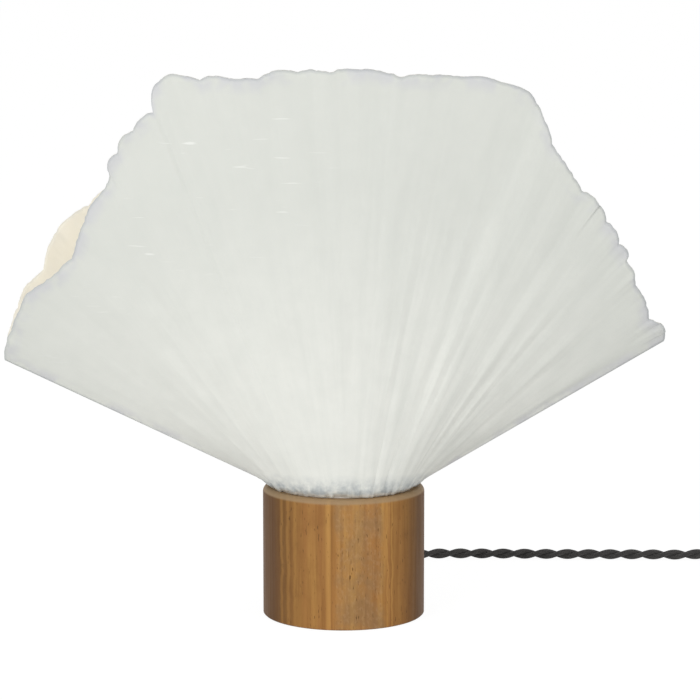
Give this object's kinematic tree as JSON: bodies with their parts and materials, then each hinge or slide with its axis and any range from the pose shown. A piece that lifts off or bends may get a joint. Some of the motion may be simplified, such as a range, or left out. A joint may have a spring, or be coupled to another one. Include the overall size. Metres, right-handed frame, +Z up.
{
  "type": "pleated paper table lamp",
  "caption": "Table lamp with a flattened fan-shaped shade of pleated white paper on a short turned wooden cylinder, with a black twisted cord.",
  "frame": {"origin": "middle of the felt foot's underside, on the axis of the wooden base", "axes": "+Z up along the base's axis, -Y towards the viewer, +X to the viewer's right, where the cord lies"},
  "size_m": [0.6562, 0.2584, 0.3595],
  "materials": {
    "turned_wood": "satin",
    "shade_paper": "matte",
    "textile_cord": "matte",
    "black_felt": "matte",
    "zinc_steel": "zinc plated",
    "white_steel": "powder coated",
    "black_plastic": "moulded, satin",
    "soft_plastic": "moulded, matte",
    "contact_brass": "plain",
    "pin_nickel": "nickel plated",
    "cap_aluminium": "rolled thread",
    "opal_glass": "opal, satin",
    "black_glass": "glossy"
  },
  "bodies": {
    "lamp": {"base_body": "turned_wood", "felt_pad": "black_felt", "ballast_disc": "zinc_steel", "ballast_screws": "zinc_steel", "threaded_tube": "zinc_steel", "tube_washer": "zinc_steel", "lower_nut": "zinc_steel", "upper_nut": "zinc_steel", "shade_dish": "white_steel", "holder_cap": "black_plastic", "holder_insert": "black_plastic", "holder_shell": "black_plastic", "contact_sleeve": "contact_brass", "centre_contact": "contact_brass", "terminal_screws": "contact_brass", "shade_front": "shade_paper", "shade_back": "shade_paper", "cord_gland": "soft_plastic", "gland_nut": "soft_plastic", "cord_inner": "textile_cord", "inner_leads": "soft_plastic", "cord_lead": "textile_cord", "cord_link": "textile_cord", "cord_coil": "textile_cord", "cord_tail": "textile_cord", "coil_tie": "textile_cord", "switch_base": "black_plastic", "switch_cover": "black_plastic", "switch_contacts": "contact_brass", "switch_screws": "zinc_steel", "plug_body": "soft_plastic", "plug_pins": "pin_nickel", "pin_sleeves": "soft_plastic"},
    "bulb_carriage": {"bulb_contact": "contact_brass", "bulb_insulator": "black_glass"},
    "bulb": {"bulb_cap": "cap_aluminium", "bulb_glass": "opal_glass"},
    "rocker": {"switch_rocker": "black_plastic"}
  },
  "joints": [
    {"name": "bulb_lift", "type": "slide", "parent": "lamp", "child": "bulb_carriage", "axis": [0, 0, 1], "range_m": [0, 0.00997]},
    {"name": "bulb_turn", "type": "hinge", "parent": "bulb_carriage", "child": "bulb", "pos_m": [0, 0, 0.1361], "axis": [0, 0, 1], "range_deg": [0, 990]},
    {"name": "rocker_tilt", "type": "hinge", "parent": "lamp", "child": "rocker", "pos_m": [0.315, 0.1538, 0.01245], "axis": [0, 1, 0], "range_deg": [0, 14]}
  ],
  "couplings": [
    {"joint": "bulb_turn", "follows": "bulb_lift", "rad_per_m": 1731.4}
  ]
}
